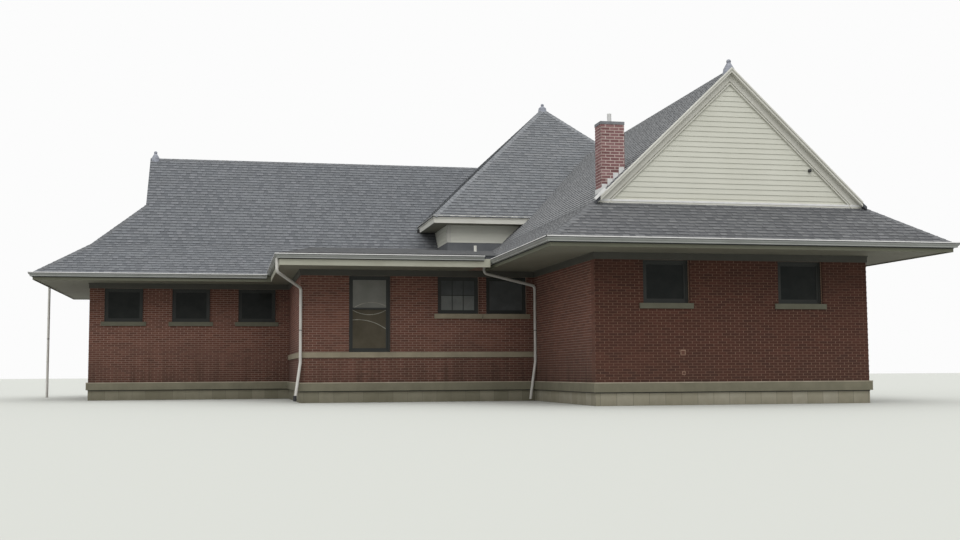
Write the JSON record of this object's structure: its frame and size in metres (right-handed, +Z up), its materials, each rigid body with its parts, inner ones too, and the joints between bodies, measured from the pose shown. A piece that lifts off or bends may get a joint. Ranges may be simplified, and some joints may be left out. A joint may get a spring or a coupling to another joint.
{
  "type": "brick railway station building",
  "caption": "Single-storey brick railway station with flared hip and gable roofs, a square tower roof over the crossing, boxed eaves, stone base and a brick chimney.",
  "frame": {"origin": "on the ground, at the middle of the rectangle of the eaves", "axes": "+X along the long body towards the wing, +Y away from the wing's gable front, +Z up"},
  "size_m": [22.93, 22.02, 10.4526],
  "materials": {
    "wall_brick": "matt pressed brick",
    "chimney_brick": "matt brick",
    "cut_stone": "rubbed stone",
    "concrete": "cast concrete",
    "window_glass": "clear",
    "dark_green_paint": "satin paint",
    "door_paint": "satin paint",
    "shingles": "mineral granules",
    "siding": "matt paint",
    "trim_paint": "satin paint",
    "soffit_paint": "matt paint",
    "gutter_metal": "gloss enamel",
    "finial_metal": "weathered sheet metal"
  },
  "bodies": {
    "root": {"attic_walls": "siding", "back_wall": "wall_brick", "back_window_frames": "dark_green_paint", "belt_course": "cut_stone", "chimney": "chimney_brick", "chimney_cap": "concrete", "corner_downspout": "gutter_metal", "doors": "door_paint", "finials": "finial_metal", "floor": "concrete", "foundation": "concrete", "frieze": "dark_green_paint", "gable_trim": "trim_paint", "gable_wall": "siding", "infill_downspout": "gutter_metal", "infill_fascia": "trim_paint", "infill_front_wall": "wall_brick", "infill_gutter": "gutter_metal", "infill_left_wall": "wall_brick", "infill_roof": "shingles", "infill_window_frames": "dark_green_paint", "left_downspout": "gutter_metal", "left_gablet": "siding", "left_window_frames": "dark_green_paint", "main_fascia": "trim_paint", "main_front_wall": "wall_brick", "main_gutter": "gutter_metal", "main_left_wall": "wall_brick", "main_roof_back": "shingles", "main_roof_front": "shingles", "main_roof_left": "shingles", "main_window_frames": "dark_green_paint", "right_wall": "wall_brick", "right_window_frames": "dark_green_paint", "roof_vent": "gutter_metal", "soffit": "soffit_paint", "tower_fascia": "trim_paint", "tower_roof_back": "shingles", "tower_roof_front": "shingles", "tower_roof_left": "shingles", "tower_roof_right": "shingles", "tower_soffit": "soffit_paint", "water_table": "cut_stone", "window_glass": "window_glass", "window_sills": "cut_stone", "wing_front_skirt": "shingles", "wing_front_wall": "wall_brick", "wing_left_wall": "wall_brick", "wing_roof_left": "shingles", "wing_roof_right": "shingles", "wing_window_frames": "dark_green_paint"}
  },
  "joints": []
}
